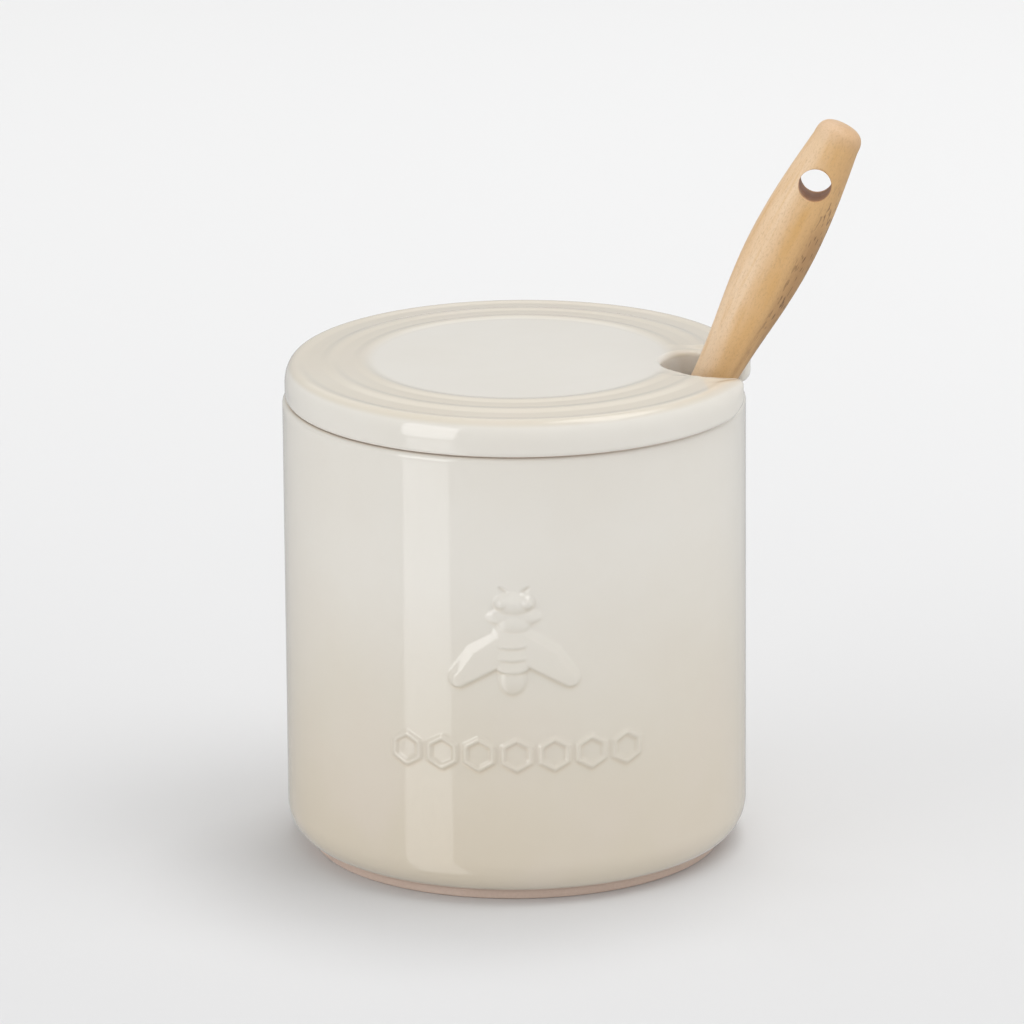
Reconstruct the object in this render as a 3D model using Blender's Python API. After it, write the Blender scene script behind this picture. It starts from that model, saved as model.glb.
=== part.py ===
"""Stoneware honey pot with a bee in relief, a notched lid and a wooden dipper leaning out of it.

Metres, +Z up. The origin is the middle of the flat base, on the table. The bee faces -Y and the
lid's notch faces +X, so the dipper leans towards +X. The pot, the lid and the dipper are one solid
each: the lid lies on the pot's rim, and the dipper stands on the pot's floor and leans on its rim.
"""
import math

import bmesh
import bpy
from mathutils import Matrix, Vector

MM = 0.001
GAP = 0.3 * MM
ROUND_SEGMENTS = 64

# Pot
POT_RADIUS = 50.0 * MM
POT_HEIGHT = 99.8 * MM
WALL = 4.4 * MM
FLOOR = 7.0 * MM
CORNER_ACROSS = 6.0 * MM
CORNER_DOWN = 7.5 * MM
FOOT_RADIUS = 44.4 * MM
FOOT_HEIGHT = 2.2 * MM
FOOT_CHAMFER = 0.5 * MM
INSIDE_CORNER = 9.0 * MM

# Bee in relief, placed on the unrolled wall: across from the middle, and up from the table.
# A size is half the width, half the height and the rise out of the wall.
HEAD_UP = 67.7 * MM
HEAD_SIZE = (4.0 * MM, 2.2 * MM, 1.2 * MM)
THORAX_UP = 63.6 * MM
THORAX_SIZE = (4.5 * MM, 3.0 * MM, 1.5 * MM)
SHOULDER_PLACE = (4.3 * MM, 64.3 * MM)
SHOULDER_SIZE = (1.9 * MM, 1.6 * MM, 1.1 * MM)
FEELER_PLACE = (2.2 * MM, 70.6 * MM)
FEELER_SIZE = (0.6 * MM, 1.9 * MM, 0.8 * MM)
FEELER_SPREAD = math.radians(23)
ABDOMEN_UP = 55.0 * MM
ABDOMEN_SIZE = (4.1 * MM, 6.9 * MM, 1.3 * MM)
BAND_COUNT = 4
BAND_FIRST_UP = 59.2 * MM
BAND_PITCH = 2.9 * MM
BAND_SIZE = (4.3 * MM, 1.25 * MM, 1.75 * MM)
BAND_NARROWING = 0.42 * MM
WING_ROOT = Vector((3.0 * MM, 62.6 * MM))
WING_TIP = Vector((13.6 * MM, 48.9 * MM))
WING_WIDTH = 7.4 * MM
WING_ROOT_SHARE = 0.16
WING_EDGE_RISE = 0.45 * MM
WING_RISE = 1.0 * MM
RELIEF_ROOT = 0.8 * MM

# Row of honeycomb cells in relief below the bee
CELL_COUNT = 7
CELL_PITCH = 8.1 * MM
CELL_RADIUS = 4.0 * MM
CELL_RIM = 1.0 * MM
CELL_RISE = 0.6 * MM
CELL_UP = 34.3 * MM

# Lid
LID_RADIUS = 50.6 * MM
LID_SHIFT = 1.25 * MM
LID_THICKNESS = 7.9 * MM
LID_WIDEST_UP = 3.5 * MM
LID_UNDER_RADIUS = 48.8 * MM
LID_RECESS = 1.8 * MM
GROOVE_RADII = (32.3 * MM, 39.0 * MM, 46.0 * MM)
GROOVE_HALF_WIDTH = 0.7 * MM
GROOVE_DEPTH = 0.5 * MM
RIDGE_RISE = 0.45 * MM
RIDGE_CREST = 2.0 * MM
LOCATING_RING_OUTER = 44.2 * MM
LOCATING_RING_INNER = 41.0 * MM
LOCATING_RING_DROP = 3.8 * MM
NOTCH_HALF_WIDTH = 10.3 * MM
NOTCH_CENTRE = 41.3 * MM
NOTCH_TURN = math.radians(-4.4)
NOTCH_HORN = 3.2 * MM

# Dipper, measured along its axis from the end of its handle
DIPPER_LENGTH = 169.4 * MM
DIPPER_LEAN = math.radians(26.7)
DIPPER_TWIST = math.radians(5.2)
DIPPER_AT_RIM = Vector((40.8 * MM, -3.5 * MM))
HANDLE_END_LENGTH = 6.0 * MM
HANDLE_END_HALF_WIDTH = 5.9 * MM
HANDLE_WIDEST_AT = 31.0 * MM
HANDLE_WIDEST_HALF = 7.4 * MM
HANDLE_NECK_AT = 67.0 * MM
HANDLE_NECK_HALF = 4.6 * MM
HANDLE_HALF_THICKNESS = 5.5 * MM
SHAFT_HALF_WIDTH = 4.2 * MM
HOLE_AT = 14.4 * MM
HOLE_RADIUS = 3.5 * MM
GROOVED_LENGTH = 38.0 * MM
GROOVED_RADIUS = 12.5 * MM
HEAD_GROOVES = 6
HEAD_GROOVE_DEPTH = 4.6 * MM
DISC_THICKNESS = 3.0 * MM
DISC_EDGE = 0.5 * MM
DIPPER_SEGMENTS = 24


def clear_scene():
    for item in list(bpy.data.objects):
        bpy.data.objects.remove(item, do_unlink=True)


def make_material(name, colour, roughness):
    material = bpy.data.materials.new(name)
    material.use_nodes = True
    shader = material.node_tree.nodes["Principled BSDF"]
    shader.inputs["Base Color"].default_value = (*colour, 1.0)
    shader.inputs["Roughness"].default_value = roughness
    shader.inputs["Metallic"].default_value = 0.0
    return material


def object_from(name, vertices, faces, material=None):
    """Make a closed mesh object, with its faces turned outwards."""
    mesh = bpy.data.meshes.new(name)
    builder = bmesh.new()
    made = [builder.verts.new(vertex) for vertex in vertices]
    for face in faces:
        builder.faces.new([made[index] for index in face])
    bmesh.ops.recalc_face_normals(builder, faces=builder.faces)
    builder.to_mesh(mesh)
    builder.free()
    if material:
        mesh.materials.append(material)
    thing = bpy.data.objects.new(name, mesh)
    bpy.context.scene.collection.objects.link(thing)
    return thing


def stacked_rings(name, rings, first_pole, last_pole, material=None):
    """Join a stack of rings with equal point counts, closed by a pole at each end."""
    count = len(rings[0])
    vertices = [first_pole]
    for ring in rings:
        vertices.extend(ring)
    vertices.append(last_pole)
    last = len(vertices) - 1
    faces = []
    for step in range(count):
        after = (step + 1) % count
        faces.append((0, 1 + step, 1 + after))
        for level in range(len(rings) - 1):
            low = 1 + level * count
            high = low + count
            faces.append((low + step, high + step, high + after, low + after))
        top = 1 + (len(rings) - 1) * count
        faces.append((last, top + after, top + step))
    return object_from(name, vertices, faces, material)


def turned(name, profile, material=None):
    """Turn a profile of (radius, height) points about Z, from one pole on the axis to the other."""
    angles = [math.tau * step / ROUND_SEGMENTS for step in range(ROUND_SEGMENTS)]
    rings = []
    for radius, height in profile[1:-1]:
        rings.append([(radius * math.cos(a), radius * math.sin(a), height) for a in angles])
    return stacked_rings(name, rings, (0.0, 0.0, profile[0][1]), (0.0, 0.0, profile[-1][1]), material)


def quarter(centre, across, up, start, end, steps):
    """Points of an elliptical arc about a centre, from one angle to another in degrees."""
    points = []
    for step in range(steps + 1):
        angle = math.radians(start + (end - start) * step / steps)
        points.append((centre[0] + across * math.cos(angle), centre[1] + up * math.sin(angle)))
    return points


def apply_modifiers(thing):
    evaluated = thing.evaluated_get(bpy.context.evaluated_depsgraph_get())
    finished = bpy.data.meshes.new_from_object(evaluated)
    thing.modifiers.clear()
    thing.data = finished


def combine(thing, tools, operation):
    """Join tools to an object or cut them from it, then remove them."""
    group = bpy.data.collections.new(thing.name + "_tools")
    bpy.context.scene.collection.children.link(group)
    for tool in tools:
        group.objects.link(tool)
    modifier = thing.modifiers.new(operation.lower(), "BOOLEAN")
    modifier.operation = operation
    modifier.operand_type = "COLLECTION"
    modifier.collection = group
    apply_modifiers(thing)
    for tool in tools:
        bpy.data.objects.remove(tool, do_unlink=True)
    bpy.data.collections.remove(group)


def shade(thing, sharp_angle=40.0):
    thing.data.shade_smooth()
    thing.data.set_sharp_from_angle(angle=math.radians(sharp_angle))


def on_wall(across, up, out):
    """A point of the unrolled wall, wrapped round the pot's front and raised by out."""
    angle = across / POT_RADIUS
    radius = POT_RADIUS + out
    return (radius * math.sin(angle), -radius * math.cos(angle), up)


def swelling(name, place, size, turn=0.0, segments=16, bands=6):
    """A low rounded swelling on the wall, with as much of it inside the wall as outside."""
    half_width, half_height, rise = size

    def spot(side, height, out):
        across = place[0] + side * math.cos(turn) - height * math.sin(turn)
        up = place[1] + side * math.sin(turn) + height * math.cos(turn)
        return on_wall(across, up, out)

    rings = []
    for band in range(1, bands):
        lift = -math.cos(math.pi * band / bands)
        spread = math.sqrt(1.0 - lift * lift)
        ring = []
        for step in range(segments):
            angle = math.tau * step / segments
            side = half_width * spread * math.cos(angle)
            height = half_height * spread * math.sin(angle)
            ring.append(spot(side, height, rise * lift))
        rings.append(ring)
    return stacked_rings(name, rings, spot(0, 0, -rise), spot(0, 0, rise))


def bee_body():
    """Head, thorax and a banded abdomen that narrows downwards."""
    pieces = [
        swelling("head", (0.0, HEAD_UP), HEAD_SIZE),
        swelling("thorax", (0.0, THORAX_UP), THORAX_SIZE),
        swelling("abdomen", (0.0, ABDOMEN_UP), ABDOMEN_SIZE),
    ]
    for band in range(BAND_COUNT):
        size = (BAND_SIZE[0] - band * BAND_NARROWING, BAND_SIZE[1], BAND_SIZE[2])
        pieces.append(swelling("band", (0.0, BAND_FIRST_UP - band * BAND_PITCH), size))
    return pieces


def bee_sides():
    """Shoulders, feelers and wings, the same on both sides."""
    pieces = []
    for side in (-1, 1):
        shoulder = (side * SHOULDER_PLACE[0], SHOULDER_PLACE[1])
        pieces.append(swelling("shoulder", shoulder, SHOULDER_SIZE))
        feeler = (side * FEELER_PLACE[0], FEELER_PLACE[1])
        pieces.append(swelling("feeler", feeler, FEELER_SIZE, -side * FEELER_SPREAD, 8))
        pieces.append(wing(side))
    return pieces


def wing_edge(length, stations=9):
    """The wing's outline: narrow at its root, widest past its middle, pointed at its tip."""
    near = []
    for step in range(stations + 1):
        share = step / stations
        fullness = WING_ROOT_SHARE + (1.0 - WING_ROOT_SHARE) * math.sin(math.pi * share ** 1.35)
        near.append((share * length, 0.5 * WING_WIDTH * fullness))
    far = [(distance, -half) for distance, half in reversed(near[1:-1])]
    return near + far


def wing(side):
    """A drooping wing, low and gently domed."""
    root = Vector((side * WING_ROOT.x, WING_ROOT.y))
    along = Vector((side * WING_TIP.x, WING_TIP.y)) - root
    length = along.length
    along.normalize()
    inward = Vector((along.y, -along.x)) * side
    middle = root + along * length * 0.5
    levels = ((1.0, -RELIEF_ROOT), (1.0, WING_EDGE_RISE), (0.86, 0.8 * WING_RISE), (0.4, 0.95 * WING_RISE))
    rings = []
    for scale, out in levels:
        ring = []
        for distance, half in wing_edge(length):
            spot = middle + along * (distance - length * 0.5) * scale + inward * half * scale
            ring.append(on_wall(spot.x, spot.y, out))
        rings.append(ring)
    inside = on_wall(middle.x, middle.y, -RELIEF_ROOT)
    return stacked_rings("wing", rings, inside, on_wall(middle.x, middle.y, WING_RISE))


def honeycomb_cell(across):
    """One hexagonal cell: a low raised rim round a bare middle."""
    corners = [math.radians(60 * step + 30) for step in range(6)]
    inner = CELL_RADIUS - CELL_RIM
    levels = (
        (CELL_RADIUS, -RELIEF_ROOT),
        (CELL_RADIUS, 0.6 * CELL_RISE),
        (CELL_RADIUS - 0.35 * CELL_RIM, CELL_RISE),
        (inner + 0.35 * CELL_RIM, CELL_RISE),
        (inner, 0.6 * CELL_RISE),
        (inner, -RELIEF_ROOT),
    )
    vertices = []
    for radius, out in levels:
        for corner in corners:
            side = across + radius * math.cos(corner)
            vertices.append(on_wall(side, CELL_UP + radius * math.sin(corner), out))
    faces = []
    for level in range(len(levels)):
        after = (level + 1) % len(levels)
        for step in range(6):
            turn = (step + 1) % 6
            faces.append((level * 6 + step, level * 6 + turn, after * 6 + turn, after * 6 + step))
    return object_from("cell", vertices, faces)


def pot_profile():
    foot_inner = FOOT_RADIUS - FOOT_CHAMFER
    corner = (POT_RADIUS - CORNER_ACROSS, FOOT_HEIGHT + CORNER_DOWN)
    rim = (POT_RADIUS - WALL / 2, POT_HEIGHT - WALL / 2)
    inner = POT_RADIUS - WALL
    inside = (inner - INSIDE_CORNER, FLOOR + INSIDE_CORNER)
    profile = [(0.0, 0.0), (foot_inner, 0.0), (FOOT_RADIUS, FOOT_CHAMFER), (FOOT_RADIUS, FOOT_HEIGHT)]
    profile += quarter(corner, CORNER_ACROSS, CORNER_DOWN, -80, 0, 6)
    profile += quarter(rim, WALL / 2, WALL / 2, 0, 180, 6)
    profile += quarter(inside, INSIDE_CORNER, INSIDE_CORNER, 0, -90, 5)
    profile.append((0.0, FLOOR))
    return profile


def make_pot(material):
    pot = turned("pot", pot_profile(), material)
    relief = bee_body() + bee_sides()
    for index in range(CELL_COUNT):
        relief.append(honeycomb_cell((index - (CELL_COUNT - 1) / 2) * CELL_PITCH))
    combine(pot, relief, "UNION")
    shade(pot)


def lid_profile():
    """From the middle of the underside, out round the edge and back over the grooved top."""
    under = POT_HEIGHT + GAP
    top = under + LID_THICKNESS
    ring_bottom = under - LOCATING_RING_DROP
    profile = [
        (0.0, under + LID_RECESS),
        (LOCATING_RING_INNER - LID_RECESS, under + LID_RECESS),
        (LOCATING_RING_INNER, under),
        (LOCATING_RING_INNER, ring_bottom),
        (LOCATING_RING_OUTER - 0.8 * MM, ring_bottom),
        (LOCATING_RING_OUTER, ring_bottom + 0.8 * MM),
        (LOCATING_RING_OUTER, under),
    ]
    widest = under + LID_WIDEST_UP
    undercut = LID_RADIUS - LID_UNDER_RADIUS
    profile += quarter((LID_UNDER_RADIUS, widest), undercut, LID_WIDEST_UP, -90, 0, 3)
    crest = GROOVE_RADII[-1] + RIDGE_CREST
    profile += quarter((crest, widest), LID_RADIUS - crest, top + RIDGE_RISE - widest, 0, 90, 5)[1:]
    for index in reversed(range(len(GROOVE_RADII))):
        groove = GROOVE_RADII[index]
        if index < len(GROOVE_RADII) - 1:
            profile.append((groove + RIDGE_CREST, top + RIDGE_RISE))
        profile.append((groove + GROOVE_HALF_WIDTH, top + 0.5 * RIDGE_RISE))
        profile.append((groove, top - GROOVE_DEPTH))
        profile.append((groove - GROOVE_HALF_WIDTH, top))
    profile.append((0.0, top))
    return profile


def notch_outline():
    """A U open at the lid's edge, with its two outer corners rounded off into the edge."""
    back = quarter((NOTCH_CENTRE, 0.0), NOTCH_HALF_WIDTH, NOTCH_HALF_WIDTH, 90, 270, 14)
    horn_middle = LID_RADIUS - NOTCH_HORN
    horn_edge = NOTCH_HALF_WIDTH + NOTCH_HORN
    near = quarter((horn_middle, -horn_edge), NOTCH_HORN, NOTCH_HORN, 90, 0, 4)
    far = [(x, -y) for x, y in reversed(near)]
    reach = LID_RADIUS + 5.0 * MM
    return back + near + [(reach, -horn_edge), (reach, horn_edge)] + far


def make_lid(material):
    lid = turned("lid", lid_profile(), material)
    outline = notch_outline()
    bottom = POT_HEIGHT - 2 * LOCATING_RING_DROP
    top = POT_HEIGHT + 2 * LID_THICKNESS
    vertices = [(x, y, bottom) for x, y in outline] + [(x, y, top) for x, y in outline]
    count = len(outline)
    faces = [tuple(range(count)), tuple(reversed(range(count, 2 * count)))]
    for step in range(count):
        after = (step + 1) % count
        faces.append((step, after, count + after, count + step))
    cutter = object_from("notch", vertices, faces)
    cutter.rotation_euler.z = NOTCH_TURN
    combine(lid, [cutter], "DIFFERENCE")
    lid.location.x = LID_SHIFT
    shade(lid)


def handle_half_width(distance):
    """Half the dipper's width at a distance from the handle's end, above its head."""
    if distance < HANDLE_END_LENGTH:
        left = 1.0 - distance / HANDLE_END_LENGTH
        return HANDLE_END_HALF_WIDTH * math.sqrt(1.0 - left * left)
    if distance < HANDLE_WIDEST_AT:
        share = (distance - HANDLE_END_LENGTH) / (HANDLE_WIDEST_AT - HANDLE_END_LENGTH)
        blend = math.sin(share * math.pi / 2)
        return HANDLE_END_HALF_WIDTH + (HANDLE_WIDEST_HALF - HANDLE_END_HALF_WIDTH) * blend
    if distance < HANDLE_NECK_AT:
        share = (distance - HANDLE_WIDEST_AT) / (HANDLE_NECK_AT - HANDLE_WIDEST_AT)
        blend = 0.5 - 0.5 * math.cos(math.pi * share)
        return HANDLE_WIDEST_HALF + (HANDLE_NECK_HALF - HANDLE_WIDEST_HALF) * blend
    share = (distance - HANDLE_NECK_AT) / (DIPPER_LENGTH - GROOVED_LENGTH - HANDLE_NECK_AT)
    return HANDLE_NECK_HALF + (SHAFT_HALF_WIDTH - HANDLE_NECK_HALF) * share


def handle_half_thickness(distance):
    """The grip is flattened front and back; the neck and the shaft are round."""
    end = math.sqrt(1.0 - (1.0 - min(distance, HANDLE_END_LENGTH) / HANDLE_END_LENGTH) ** 2)
    return min(handle_half_width(distance), HANDLE_HALF_THICKNESS * end)


def grooved_radius(share):
    """Outer radius of the grooved head, from its shoulder at 0 to its rounded lower end at 1."""
    return GROOVED_RADIUS * math.sqrt(1.0 - (1.9 * share - 0.92) ** 4)


def head_sections():
    """The head's discs, with a groove of smaller radius between each two."""
    start = DIPPER_LENGTH - GROOVED_LENGTH
    pitch = (GROOVED_LENGTH - DISC_THICKNESS) / HEAD_GROOVES
    sections = []
    for index in range(HEAD_GROOVES + 1):
        near = start + index * pitch
        far = near + DISC_THICKNESS
        for distance, sunk in ((near, 1), (near + DISC_EDGE, 0), (far - DISC_EDGE, 0), (far, 1)):
            outer = grooved_radius((distance - start) / GROOVED_LENGTH)
            radius = max(SHAFT_HALF_WIDTH, outer - sunk * HEAD_GROOVE_DEPTH)
            sections.append((distance, radius, radius))
    return sections


def dipper_sections(end_steps=4, grip_steps=13):
    """Sections along the dipper: distance from the handle's end, half width and half thickness."""
    distances = []
    for step in range(1, end_steps + 1):
        distances.append(HANDLE_END_LENGTH * (1.0 - math.cos(math.pi / 2 * step / end_steps)))
    for step in range(1, grip_steps + 1):
        distances.append(HANDLE_END_LENGTH + (HANDLE_NECK_AT - HANDLE_END_LENGTH) * step / grip_steps)
    sections = [(spot, handle_half_width(spot), handle_half_thickness(spot)) for spot in distances]
    return sections + head_sections()


def dipper_ring(distance, half_width, half_thickness):
    """A section across the dipper's axis: a circle, or a flattened round where it is thin."""
    power = 2.0 / (2.0 + 2.0 * (1.0 - half_thickness / half_width))
    ring = []
    for step in range(DIPPER_SEGMENTS):
        angle = math.tau * step / DIPPER_SEGMENTS
        across = math.copysign(abs(math.cos(angle)) ** power, math.cos(angle))
        deep = math.copysign(abs(math.sin(angle)) ** power, math.sin(angle))
        ring.append((half_width * across, half_thickness * deep, DIPPER_LENGTH - distance))
    return ring


def dipper_stand(sections):
    """Height of the axis's lower end at which the leaning head just clears the pot's floor."""
    lowest = 0.0
    for distance, half_width, _ in sections:
        rise = (DIPPER_LENGTH - distance) * math.cos(DIPPER_LEAN) - half_width * math.sin(DIPPER_LEAN)
        lowest = min(lowest, rise)
    return FLOOR + GAP - lowest


def make_dipper(material):
    sections = dipper_sections()
    rings = [dipper_ring(*section) for section in sections]
    dipper = stacked_rings("dipper", rings, (0.0, 0.0, DIPPER_LENGTH), (0.0, 0.0, 0.0), material)
    bpy.ops.mesh.primitive_cylinder_add(vertices=24, radius=HOLE_RADIUS, depth=30.0 * MM)
    hole = bpy.context.object
    hole.rotation_euler.x = math.pi / 2
    hole.location.z = DIPPER_LENGTH - HOLE_AT
    combine(dipper, [hole], "DIFFERENCE")
    stand = dipper_stand(sections)
    foot = DIPPER_AT_RIM.x - (POT_HEIGHT - stand) * math.tan(DIPPER_LEAN)
    lean = Matrix.Rotation(DIPPER_LEAN, 4, "Y") @ Matrix.Rotation(-DIPPER_TWIST, 4, "Z")
    dipper.matrix_world = Matrix.Translation((foot, DIPPER_AT_RIM.y, stand)) @ lean
    shade(dipper)


clear_scene()
glaze = make_material("cream_glaze", (0.68, 0.64, 0.57), 0.28)
wood = make_material("pale_wood", (0.62, 0.44, 0.25), 0.55)
make_pot(glaze)
make_lid(glaze)
make_dipper(wood)
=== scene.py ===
import math

import bpy
import numpy as np
from mathutils import Matrix, Vector


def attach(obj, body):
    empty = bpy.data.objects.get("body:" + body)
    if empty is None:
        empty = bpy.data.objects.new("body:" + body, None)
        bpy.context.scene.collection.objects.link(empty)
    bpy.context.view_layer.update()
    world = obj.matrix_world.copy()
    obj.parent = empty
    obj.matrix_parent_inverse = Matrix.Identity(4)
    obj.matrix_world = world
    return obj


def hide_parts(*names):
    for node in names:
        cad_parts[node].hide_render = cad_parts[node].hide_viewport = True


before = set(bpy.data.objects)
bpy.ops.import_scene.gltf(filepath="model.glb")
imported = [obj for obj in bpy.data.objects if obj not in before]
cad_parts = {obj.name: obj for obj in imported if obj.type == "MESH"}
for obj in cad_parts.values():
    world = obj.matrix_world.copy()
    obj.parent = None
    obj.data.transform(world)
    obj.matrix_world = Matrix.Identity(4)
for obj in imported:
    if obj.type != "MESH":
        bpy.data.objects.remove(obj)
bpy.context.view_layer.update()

# Pieces are measured in millimetres up to mesh_piece, which turns them into metres.
# Lights, the floor and the scales of the noises are in metres.
METRES = 0.001

# Pot
POT_RADIUS = 50.0
POT_HEIGHT = 99.8
WALL = 4.4
FLOOR = 7.0
CORNER_ACROSS = 6.0
CORNER_DOWN = 7.5
FOOT_RADIUS = 44.4
FOOT_HEIGHT = 2.2
FOOT_CHAMFER = 0.5
INSIDE_CORNER = 9.0
FRONT_HALF = 30.0
BEE_REACH = 15.5
BEE_COLUMN = 0.25
CELL_COLUMN = 0.45
OTHER_COLUMN = 3.0
RIM_ROUND = 1.2
# Stretches of the straight wall above its corner: the lower end of each and the height of its rows
WALL_STRETCHES = ((FOOT_HEIGHT + CORNER_DOWN, 1.2), (29.0, 0.32), (39.5, 0.9), (46.5, 0.22), (73.0, 1.2))

# Relief on the front, on the unrolled wall: across from the middle, and up from the table
RELIEF_STEP = 0.1
RELIEF_LOW = 28.0
RELIEF_HIGH = 74.0
RELIEF_MARGIN = 1.0
RELIEF_SOFTNESS = 0.18
# Glaze gathering beside the relief together with painted shade below its lower edges: blur, downward drop
# and full strength, in millimetres
SHADE_GATHER_SPREAD = 0.35
SHADE_GATHER_DROP = 0.45
SHADE_GATHER_FULL = 0.35
BEE_ACROSS = -0.4
HEAD_UP = 67.9
HEAD_HALF = (4.3, 2.6)
HEAD_RISE = 1.25
EYE_PLACE = (2.6, 68.2)
EYE_HALF = (1.6, 1.6)
EYE_RISE = 1.45
THORAX_UP = 63.5
THORAX_HALF = (3.6, 2.6)
THORAX_RISE = 1.0
SHOULDER_UP = 65.1
SHOULDER_HALF = (6.0, 2.2)
SHOULDER_RISE = 0.75
FEELER_PLACE = (2.4, 70.8)
FEELER_HALF = (0.5, 1.35)
FEELER_DEPTH = 0.4
FEELER_SPREAD = math.radians(55)
ABDOMEN_ACROSS = -0.4
ABDOMEN_TURN_UP = 56.5
ABDOMEN_FADE = 2.5
ABDOMEN_HALF = 4.2
ABDOMEN_DOWN = 4.6
ABDOMEN_RISE = 0.8
ABDOMEN_TIP = (0.0, 51.3)
ABDOMEN_TIP_HALF = (3.0, 3.6)
BAND_COUNT = 3
BAND_LOWEST_UP = 52.6
BAND_PITCH = 2.75
BAND_SAG = 0.9
BAND_RISE = 0.42
WING_ROOT = (1.9, 60.6)
WING_BEND = (8.3, 56.6)
WING_TIP = (12.0, 51.4)
WING_TAIL = (3.9, 55.9)
WING_ROUND = 2.4
WING_RISE = 0.72
WING_LEADING_WIDTH = 2.0
WING_TRAILING_WIDTH = 0.6
CELL_COUNT = 7
CELL_PITCH = 8.1
CELL_RADIUS = 4.0
CELL_RIM = 1.15
CELL_RISE = 0.55
CELL_UP = 34.3

# Lid
LID_RADIUS = 50.6
LID_SHIFT = 1.15
LID_UNDER = 100.0
LID_TOP = 108.0
LID_EDGE_ACROSS = 2.6
LID_EDGE_DOWN = 4.7
LID_UNDERCUT = 0.7
LID_UNDERCUT_UP = 1.2
LID_RECESS = 1.8
LID_TOP_FALL = 0.4
BEAD_RADII = (33.9, 40.8, 48.0)
BEAD_HALF = 2.3
BEAD_RISE = 0.25
RING_OUTER = 44.2
RING_INNER = 41.0
RING_DROP = 3.8
NOTCH_HALF_WIDTH = 9.3
NOTCH_CENTRE = 40.0
NOTCH_TURN = math.radians(-5.2)
NOTCH_HORN = 2.2
NOTCH_CALM = 7.0
NOTCH_DROOP = 0.5
NOTCH_TOP_EDGE = 1.3
NOTCH_UNDER_EDGE = 3.0
EDGE_STEEPEST = math.radians(84)
LID_DISC = 28.0
LID_COLUMN = 0.77

# Dipper, measured along its axis from the end of its handle
DIPPER_LENGTH = 168.6
DIPPER_LEAN = math.radians(26.7)
DIPPER_TWIST = math.radians(5.2)
DIPPER_AT_RIM = (40.8, -3.5)
HANDLE_END_LENGTH = 4.4
HANDLE_END_POWER = 3.0
HANDLE_END_HALF_WIDTH = 5.2
HANDLE_WIDEST_AT = 30.2
HANDLE_WIDEST_HALF = 7.4
HANDLE_NECK_AT = 66.2
HANDLE_NECK_HALF = 4.6
HANDLE_HALF_THICKNESS = 5.5
SHAFT_HALF_WIDTH = 4.2
HOLE_AT = 13.6
HOLE_RADIUS = 3.5
HOLE_CHAMFER = 0.45
HOLE_HEIGHT = DIPPER_LENGTH - HOLE_AT
DRILL_FLARE = 3.0
DRILL_COLUMNS = 48
GROOVED_LENGTH = 38.0
GROOVED_RADIUS = 12.5
HEAD_GROOVES = 6
HEAD_GROOVE_DEPTH = 4.6
DISC_THICKNESS = 3.0
DIPPER_COLUMNS = 64

# Camera, fitted to the pot's rim and base and to the lid
CAMERA_DOWN = math.radians(16.477)
CAMERA_ROLL = math.radians(-0.4514)
CAMERA_DISTANCE = 1913.2
CAMERA_TARGET = (-0.64, 0.0, 73.32)
CAMERA_LENS = 310.68

# Points near the pot's middle that the lights are turned to, in metres
LIGHT_AIM = (0.0, 0.0, 0.06)
GLOSS_AIM = (0.0, 0.0, 0.05)

# Colours are linear
GLAZE_THIN = (0.632, 0.557, 0.442, 1.0)
GLAZE_MEDIUM = (0.675, 0.627, 0.540, 1.0)
GLAZE_THICK = (0.740, 0.712, 0.655, 1.0)
GLAZE_BLUSH = (0.69, 0.61, 0.55, 1.0)
CLAY = (0.61, 0.48, 0.40, 1.0)
CLAY_DARK = (0.51, 0.39, 0.32, 1.0)
WOOD_PALE = (0.80, 0.60, 0.405, 1.0)
WOOD_MEDIUM = (0.71, 0.485, 0.275, 1.0)
WOOD_AMBER = (0.62, 0.35, 0.11, 1.0)
WOOD_DARK_TONE_AND_SHADE = (0.34, 0.19, 0.085, 1.0)
WOOD_END = (0.60, 0.43, 0.32, 1.0)
WOOD_BORE_GRAIN_AND_SHADE = (0.45, 0.22, 0.10, 1.0)
WOOD_GOLD = (0.65, 0.40, 0.175, 1.0)
WOOD_FLECK = (0.13, 0.07, 0.035, 1.0)
# Floor colours near the camera and at the back; the change between them is painted shade
FLOOR_NEAR = (0.675, 0.675, 0.68, 1.0)
FLOOR_FAR = (0.86, 0.86, 0.86, 1.0)
# Heights on the pot between which its glaze grows from thin to thick
GLAZE_THIN_UP = 4.0
GLAZE_THICK_UP = 82.0
BUMP_STRENGTH = 0.3
BUMP_DISTANCE = 0.0002

# Amber patches on the grip: across and up its axis, half its width and length, and strength
AMBER_PATCHES = (
    (0.8, 143.0, 1.5, 7.0, 0.6),
    (1.6, 130.2, 2.6, 5.0, 0.4),
    (-0.3, 162.8, 1.8, 4.0, 0.35),
    (0.6, 118.5, 3.0, 7.0, 0.3),
)


def mesh_piece(name, vertices, faces):
    mesh = bpy.data.meshes.new(name)
    mesh.from_pydata((np.asarray(vertices) * METRES).tolist(), [], faces)
    mesh.update()
    mesh.shade_smooth()
    piece = bpy.data.objects.new(name, mesh)
    bpy.context.scene.collection.objects.link(piece)
    return piece


def piece_of_rows(name, rows, first_pole, last_pole):
    """Close a stack of rows of points, each going once round, with a pole at each end."""
    levels, count, _ = rows.shape
    vertices = np.vstack([first_pole, rows.reshape(-1, 3), last_pole])
    here = 1 + np.arange(levels * count).reshape(levels, count)
    after = np.roll(here, -1, axis=1)
    quads = np.stack([here[:-1], after[:-1], after[1:], here[1:]], axis=-1).reshape(-1, 4)
    start = np.stack([np.zeros(count, int), after[0], here[0]], axis=-1)
    end = np.stack([np.full(count, levels * count + 1), here[-1], after[-1]], axis=-1)
    return mesh_piece(name, vertices, quads.tolist() + start.tolist() + end.tolist())


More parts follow.
